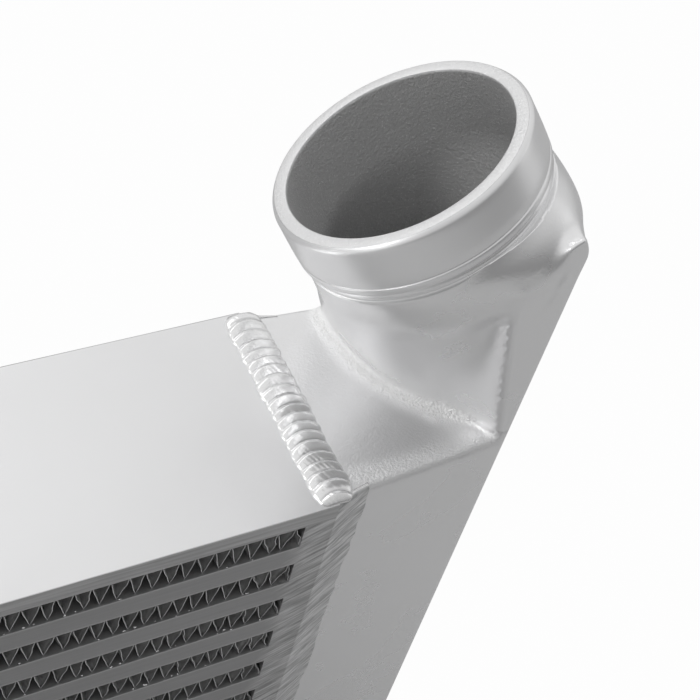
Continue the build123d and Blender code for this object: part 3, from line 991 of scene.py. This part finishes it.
def makeBarMetal():
    """Bars and tubes: lengthwise brushing, light sheet edges beside each fin row, ground strokes by the tanks."""
    material, tree, shader = newMetal("brushedBar", barFinish["dark"], 0.42, 0.85)
    place = addNode(tree, "TexCoord").outputs["Object"]
    axes = addNode(tree, "SeparateXYZ", ((0, place),))
    brush = useGroup(tree, brushLines, Squeeze=(22.0, 700.0, 1500.0))
    ground = useGroup(tree, brushLines, Turn=(0.0, math.radians(24), 0.0), Squeeze=(90.0, 300.0, 1000.0))
    colour = tint(tree, brush.outputs["Strokes"], barFinish["dark"], barFinish["light"])
    level = addUp(tree, axes.outputs["Z"], -core["sidePlate"] * millimetre)
    layer = addNode(tree, "Math", ((0, level), (1, rowStep * millimetre)), operation="MODULO").outputs[0]
    sheet = 0.8 * millimetre
    lowEdge = core["finHeight"] * millimetre
    nearLow = addNode(tree, "MapRange", (("Value", layer), ("From Min", lowEdge + sheet * 1.1), ("From Max", lowEdge + sheet * 0.5)))
    inTube = addNode(tree, "Math", ((0, layer), (1, lowEdge)), operation="GREATER_THAN").outputs[0]
    nearHigh = addNode(tree, "MapRange", (("Value", layer), ("From Min", rowStep * millimetre - sheet * 1.1),
                                          ("From Max", rowStep * millimetre - sheet * 0.5)))
    edge = multiply(tree, addUp(tree, nearLow.outputs["Result"], nearHigh.outputs["Result"]), inTube)
    edge = multiply(tree, edge, blend(tree, brush.outputs["Wide Strokes"], 0.1, 0.8))
    lined = addNode(tree, "Mix", data_type="RGBA")
    tree.links.new(edge, lined.inputs["Factor"])
    tree.links.new(colour, lined.inputs["A"])
    lined.inputs["B"].default_value = (*barFinish["edge"], 1)
    across = addNode(tree, "Math", ((0, axes.outputs["X"]),), operation="ABSOLUTE").outputs[0]
    ragged = addUp(tree, across, multiply(tree, ground.outputs["Wide Strokes"], 0.008))
    zone = addNode(tree, "MapRange", (("Value", ragged), ("From Min", barFinish["groundFrom"] + 0.0005),
                                      ("From Max", barFinish["groundFrom"] + 0.006)))
    zone = zone.outputs["Result"]
    strokes = sharpen(tree, ground.outputs["Strokes"])
    groundTone = tint(tree, strokes, barFinish["dark"], barFinish["ground"])
    final = addNode(tree, "Mix", data_type="RGBA")
    tree.links.new(zone, final.inputs["Factor"])
    tree.links.new(lined.outputs["Result"], final.inputs["A"])
    tree.links.new(groundTone, final.inputs["B"])
    tree.links.new(final.outputs["Result"], shader.inputs["Base Color"])
    tree.links.new(blend(tree, brush.outputs["Strokes"], 0.36, 0.50), shader.inputs["Roughness"])
    height = addUp(tree, multiply(tree, brush.outputs["Strokes"], 0.35), multiply(tree, multiply(tree, strokes, zone), 1.4))
    addBump(tree, shader, height, 0.0001)
    return material


def makeFinMetal():
    material, tree, shader = newMetal("finFoil", (0.70, 0.70, 0.70), 0.34, 0.85)
    grain = useGroup(tree, castGrain, Pebble_Scale=500.0, Cloud_Scale=180.0)
    tree.links.new(tint(tree, grain.outputs["Cloud"], (0.66, 0.66, 0.66), (0.93, 0.93, 0.93)), shader.inputs["Base Color"])
    tree.links.new(blend(tree, grain.outputs["Pebbles"], 0.28, 0.45), shader.inputs["Roughness"])
    addBump(tree, shader, grain.outputs["Cloud"], 0.0002)
    return material


def makeBeadMetal():
    material, tree, shader = newMetal("weldMetal", (0.92, 0.92, 0.925), 0.24, 0.9)
    grain = useGroup(tree, castGrain, Pebble_Scale=1100.0, Cloud_Scale=300.0)
    brush = useGroup(tree, brushLines, Turn=(0.0, math.radians(24), 0.0), Squeeze=(90.0, 300.0, 1000.0))
    place = addNode(tree, "TexCoord").outputs["Object"]
    level = addNode(tree, "SeparateXYZ", ((0, place),)).outputs["Z"]
    high = (core["height"] + 0.1) * millimetre
    ramp = addNode(tree, "MapRange", (("Value", level), ("From Min", high), ("From Max", high - 0.001))).outputs["Result"]
    bead = tint(tree, grain.outputs["Cloud"], (0.78, 0.78, 0.785), (0.93, 0.93, 0.93))
    strokes = sharpen(tree, brush.outputs["Strokes"])
    groundTone = tint(tree, strokes, (0.40, 0.40, 0.405), (0.82, 0.82, 0.825))
    final = addNode(tree, "Mix", data_type="RGBA")
    tree.links.new(ramp, final.inputs["Factor"])
    # creases between the bead's scallops darkened towards grey: painted shade
    groove = addNode(tree, "Attribute", attribute_name="groove").outputs["Fac"]
    creaseShaded = addNode(tree, "Mix", data_type="RGBA")
    tree.links.new(multiply(tree, groove, 0.55), creaseShaded.inputs["Factor"])
    tree.links.new(bead, creaseShaded.inputs["A"])
    creaseShaded.inputs["B"].default_value = (0.42, 0.42, 0.425, 1)
    tree.links.new(creaseShaded.outputs["Result"], final.inputs["A"])
    tree.links.new(groundTone, final.inputs["B"])
    tree.links.new(final.outputs["Result"], shader.inputs["Base Color"])
    tree.links.new(blend(tree, ramp, 0.24, 0.40), shader.inputs["Roughness"])
    height = addUp(tree, multiply(tree, grain.outputs["Pebbles"], 0.3), multiply(tree, multiply(tree, strokes, ramp), 1.0))
    addBump(tree, shader, height, 0.0001)
    return material


def makeBrazeMetal():
    material, tree, shader = newMetal("brazeDrops", (0.95, 0.95, 0.95), 0.2, 0.9)
    grain = useGroup(tree, castGrain, Pebble_Scale=2000.0, Cloud_Scale=300.0)
    tree.links.new(blend(tree, grain.outputs["Cloud"], 0.16, 0.32), shader.inputs["Roughness"])
    addBump(tree, shader, grain.outputs["Pebbles"], 0.00005)
    return material


tankMetal = makeTankMetal()
plateMetal = makePlateMetal()
barMetal = makeBarMetal()
finMetal = makeFinMetal()
beadMetal = makeBeadMetal()
brazeMetal = makeBrazeMetal()


def dress(piece, material):
    if not piece.data.materials:
        piece.data.materials.append(material)
    for place in piece.material_slots:
        place.material = material


for node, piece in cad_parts.items():
    if "side_plate" in node:
        dress(piece, plateMetal)
    elif "bar" in node or "tube" in node:
        dress(piece, barMetal)
    elif "turbulator" in node or "fin" in node:
        dress(piece, finMetal)
    elif "tank" in node:
        dress(piece, tankMetal)
    else:
        dress(piece, beadMetal)
print("materials made")

# ---- each piece rides on the one body and stands for its solid

for side, tankPiece, weldPiece in (("right", tankRight, weldRight), ("left", tankLeft, weldLeft)):
    dress(tankPiece, tankMetal)
    dress(weldPiece, beadMetal)
    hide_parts(f"end_tank_{side}")
    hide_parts(f"weld_{side}")
for row, piece in enumerate(finPieces):
    dress(piece, finMetal)
    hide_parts(f"air_fin_{row + 1:02d}")
dress(brazeBeads, brazeMetal)
for piece in (tankRight, tankLeft, weldRight, weldLeft, brazeBeads, *finPieces):
    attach(piece, "root")
print("pieces placed")
